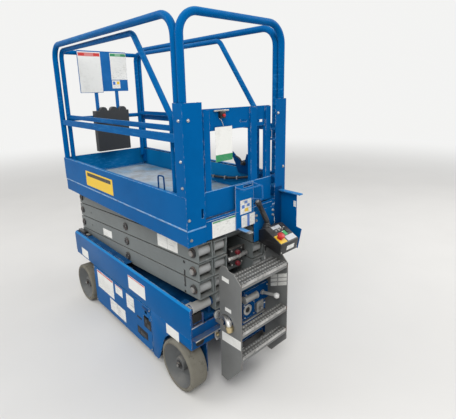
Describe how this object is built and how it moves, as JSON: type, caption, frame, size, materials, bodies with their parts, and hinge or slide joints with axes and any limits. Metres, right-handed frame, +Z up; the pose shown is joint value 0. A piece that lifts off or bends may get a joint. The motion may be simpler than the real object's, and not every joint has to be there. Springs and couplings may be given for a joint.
{
  "type": "scissor lift",
  "caption": "Slab scissor lift, lowered: blue chassis on solid tyres, grey stacked scissor arms, rear ladder, railed platform with sliding extension, gate and control box.",
  "frame": {"origin": "on the ground under the middle of the machine's outline", "axes": "+X towards the steered front end, +Y to the machine's left, +Z up"},
  "size_m": [1.83, 0.76, 2.06],
  "materials": {
    "blue_paint": "worn gloss blue paint, scuffed to bright steel at edges",
    "grey_paint": "grey paint, stained and rusty at edges",
    "black_plastic": "moulded plastic",
    "black_steel": "black paint, dusty",
    "rod_chrome": "ground and chromed",
    "deck_metal": "worn deck plate with remains of blue paint",
    "grey_plastic": "moulded plastic, scuffed",
    "board": "sign board, blank",
    "arm_paint": "satin grey paint with grease stains",
    "rubber": "light grey solid rubber, non-marking",
    "rim_paint": "dark grey paint with rust stains"
  },
  "bodies": {
    "chassis": {"chassis_frame": "blue_paint", "scissor_mounts": "blue_paint", "side_panels": "blue_paint", "rear_panel": "blue_paint", "front_panel": "blue_paint", "ladder": "grey_paint", "rear_unit": "blue_paint"},
    "tray_left": {"tray_left": "blue_paint", "battery_pack": "black_plastic"},
    "tray_right": {"tray_right": "blue_paint", "hydraulic_unit": "black_steel"},
    "pothole_guard_left": {"pothole_guard_left": "black_steel"},
    "pothole_guard_right": {"pothole_guard_right": "black_steel"},
    "knuckle_left": {"knuckle_left": "black_steel"},
    "knuckle_right": {"knuckle_right": "black_steel"},
    "tie_rod": {"tie_rod": "black_steel"},
    "lift_barrel": {"lift_barrel": "black_steel"},
    "lift_rod": {"lift_rod": "rod_chrome"},
    "platform": {"platform_deck": "deck_metal", "toe_boards": "blue_paint", "main_rails": "blue_paint", "rear_hoop": "blue_paint", "rear_column_left": "blue_paint", "rear_column_right": "blue_paint", "control_box": "black_plastic", "outlet_bracket": "blue_paint"},
    "gate": {"gate": "blue_paint"},
    "extension": {"extension_deck": "blue_paint", "extension_rails": "blue_paint", "manual_box": "grey_plastic", "sign_board": "board"},
    "inner_arm_1": {"inner_arm_1": "arm_paint"},
    "outer_arm_1": {"outer_arm_1": "arm_paint"},
    "inner_arm_2": {"inner_arm_2": "arm_paint"},
    "outer_arm_2": {"outer_arm_2": "arm_paint"},
    "inner_arm_3": {"inner_arm_3": "arm_paint"},
    "outer_arm_3": {"outer_arm_3": "arm_paint"},
    "inner_arm_4": {"inner_arm_4": "arm_paint"},
    "outer_arm_4": {"outer_arm_4": "arm_paint"},
    "wheel_front_left": {"tyre_front_left": "rubber", "rim_front_left": "rim_paint"},
    "wheel_front_right": {"tyre_front_right": "rubber", "rim_front_right": "rim_paint"},
    "wheel_rear_left": {"tyre_rear_left": "rubber", "rim_rear_left": "rim_paint"},
    "wheel_rear_right": {"tyre_rear_right": "rubber", "rim_rear_right": "rim_paint"}
  },
  "joints": [
    {"name": "lift", "type": "hinge", "parent": "chassis", "child": "inner_arm_1", "pos_m": [-0.672, 0, 0.551], "axis": [0, -1, 0], "range_deg": [0, 56.1]},
    {"name": "fold_outer_1", "type": "hinge", "parent": "inner_arm_1", "child": "outer_arm_1", "pos_m": [0.07111, 0, 0.604], "axis": [0, -1, 0], "range_deg": [-112.7, 0.5]},
    {"name": "fold_inner_2", "type": "hinge", "parent": "outer_arm_1", "child": "inner_arm_2", "pos_m": [-0.672, 0, 0.657], "axis": [0, -1, 0], "range_deg": [-0.5, 112.7]},
    {"name": "fold_outer_2", "type": "hinge", "parent": "inner_arm_2", "child": "outer_arm_2", "pos_m": [0.07111, 0, 0.71], "axis": [0, -1, 0], "range_deg": [-112.7, 0.5]},
    {"name": "fold_inner_3", "type": "hinge", "parent": "outer_arm_2", "child": "inner_arm_3", "pos_m": [-0.672, 0, 0.763], "axis": [0, -1, 0], "range_deg": [-0.5, 112.7]},
    {"name": "fold_outer_3", "type": "hinge", "parent": "inner_arm_3", "child": "outer_arm_3", "pos_m": [0.07111, 0, 0.816], "axis": [0, -1, 0], "range_deg": [-112.7, 0.5]},
    {"name": "fold_inner_4", "type": "hinge", "parent": "outer_arm_3", "child": "inner_arm_4", "pos_m": [-0.672, 0, 0.869], "axis": [0, -1, 0], "range_deg": [-0.5, 112.7]},
    {"name": "fold_outer_4", "type": "hinge", "parent": "inner_arm_4", "child": "outer_arm_4", "pos_m": [0.07111, 0, 0.922], "axis": [0, -1, 0], "range_deg": [-112.7, 0.5]},
    {"name": "platform_level", "type": "hinge", "parent": "outer_arm_4", "child": "platform", "pos_m": [-0.672, 0, 0.975], "axis": [0, -1, 0], "range_deg": [-0.5, 56.6]},
    {"name": "barrel_pivot", "type": "hinge", "parent": "inner_arm_1", "child": "lift_barrel", "pos_m": [0.57483, 0, 0.63993], "axis": [0, -1, 0], "range_deg": [-125, 0.5]},
    {"name": "rod_slide", "type": "slide", "parent": "lift_barrel", "child": "lift_rod", "axis": [-0.9902, 0, 0.1398], "range_m": [-0.005, 0.82]},
    {"name": "guard_drop_left", "type": "slide", "parent": "chassis", "child": "pothole_guard_left", "axis": [0, 0, -1], "range_m": [-0.0005, 0.0305]},
    {"name": "guard_drop_right", "type": "slide", "parent": "chassis", "child": "pothole_guard_right", "axis": [0, 0, -1], "range_m": [-0.0005, 0.0305]},
    {"name": "steer_left", "type": "hinge", "parent": "chassis", "child": "knuckle_left", "pos_m": [0.751, 0.233, 0.3], "axis": [0, 0, 1], "range_deg": [-70, 70]},
    {"name": "steer_right", "type": "hinge", "parent": "chassis", "child": "knuckle_right", "pos_m": [0.751, -0.233, 0.3], "axis": [0, 0, 1], "range_deg": [-70.5, 70.5]},
    {"name": "tie_rod_pivot", "type": "hinge", "parent": "knuckle_left", "child": "tie_rod", "pos_m": [0.651, 0.233, 0.236], "axis": [0, 0, 1], "range_deg": [-70.5, 70.5]},
    {"name": "spin_front_left", "type": "hinge", "parent": "knuckle_left", "child": "wheel_front_left", "pos_m": [0.751, 0.323, 0.1525], "axis": [0, 1, 0], "continuous": true},
    {"name": "spin_front_right", "type": "hinge", "parent": "knuckle_right", "child": "wheel_front_right", "pos_m": [0.751, -0.323, 0.1525], "axis": [0, 1, 0], "continuous": true},
    {"name": "spin_rear_left", "type": "hinge", "parent": "chassis", "child": "wheel_rear_left", "pos_m": [-0.569, 0.323, 0.1525], "axis": [0, 1, 0], "continuous": true},
    {"name": "spin_rear_right", "type": "hinge", "parent": "chassis", "child": "wheel_rear_right", "pos_m": [-0.569, -0.323, 0.1525], "axis": [0, 1, 0], "continuous": true},
    {"name": "tray_swing_left", "type": "hinge", "parent": "chassis", "child": "tray_left", "pos_m": [0.558, 0.343, 0.2], "axis": [0, 0, -1], "range_deg": [0, 80]},
    {"name": "tray_swing_right", "type": "hinge", "parent": "chassis", "child": "tray_right", "pos_m": [0.558, -0.343, 0.2], "axis": [0, 0, 1], "range_deg": [0, 80]},
    {"name": "gate_swing", "type": "hinge", "parent": "platform", "child": "gate", "pos_m": [-0.7, -0.272, 1.3], "axis": [0, 0, -1], "range_deg": [0, 90]},
    {"name": "extension_slide", "type": "slide", "parent": "platform", "child": "extension", "axis": [1, 0, 0], "range_m": [0, 0.91]}
  ],
  "couplings": [
    {"joint": "fold_outer_1", "follows": "lift", "ratio": -2},
    {"joint": "fold_inner_2", "follows": "lift", "ratio": 2},
    {"joint": "fold_outer_2", "follows": "lift", "ratio": -2},
    {"joint": "fold_inner_3", "follows": "lift", "ratio": 2},
    {"joint": "fold_outer_3", "follows": "lift", "ratio": -2},
    {"joint": "fold_inner_4", "follows": "lift", "ratio": 2},
    {"joint": "fold_outer_4", "follows": "lift", "ratio": -2},
    {"joint": "platform_level", "follows": "lift", "ratio": 1},
    {"joint": "barrel_pivot", "follows": "lift", "ratio": -2.1732},
    {"joint": "rod_slide", "follows": "lift", "m_per_rad": 0.79764},
    {"joint": "guard_drop_left", "follows": "lift", "m_per_rad": 0.030639},
    {"joint": "guard_drop_right", "follows": "lift", "m_per_rad": 0.030639},
    {"joint": "steer_right", "follows": "steer_left", "ratio": 1},
    {"joint": "tie_rod_pivot", "follows": "steer_left", "ratio": -1}
  ]
}
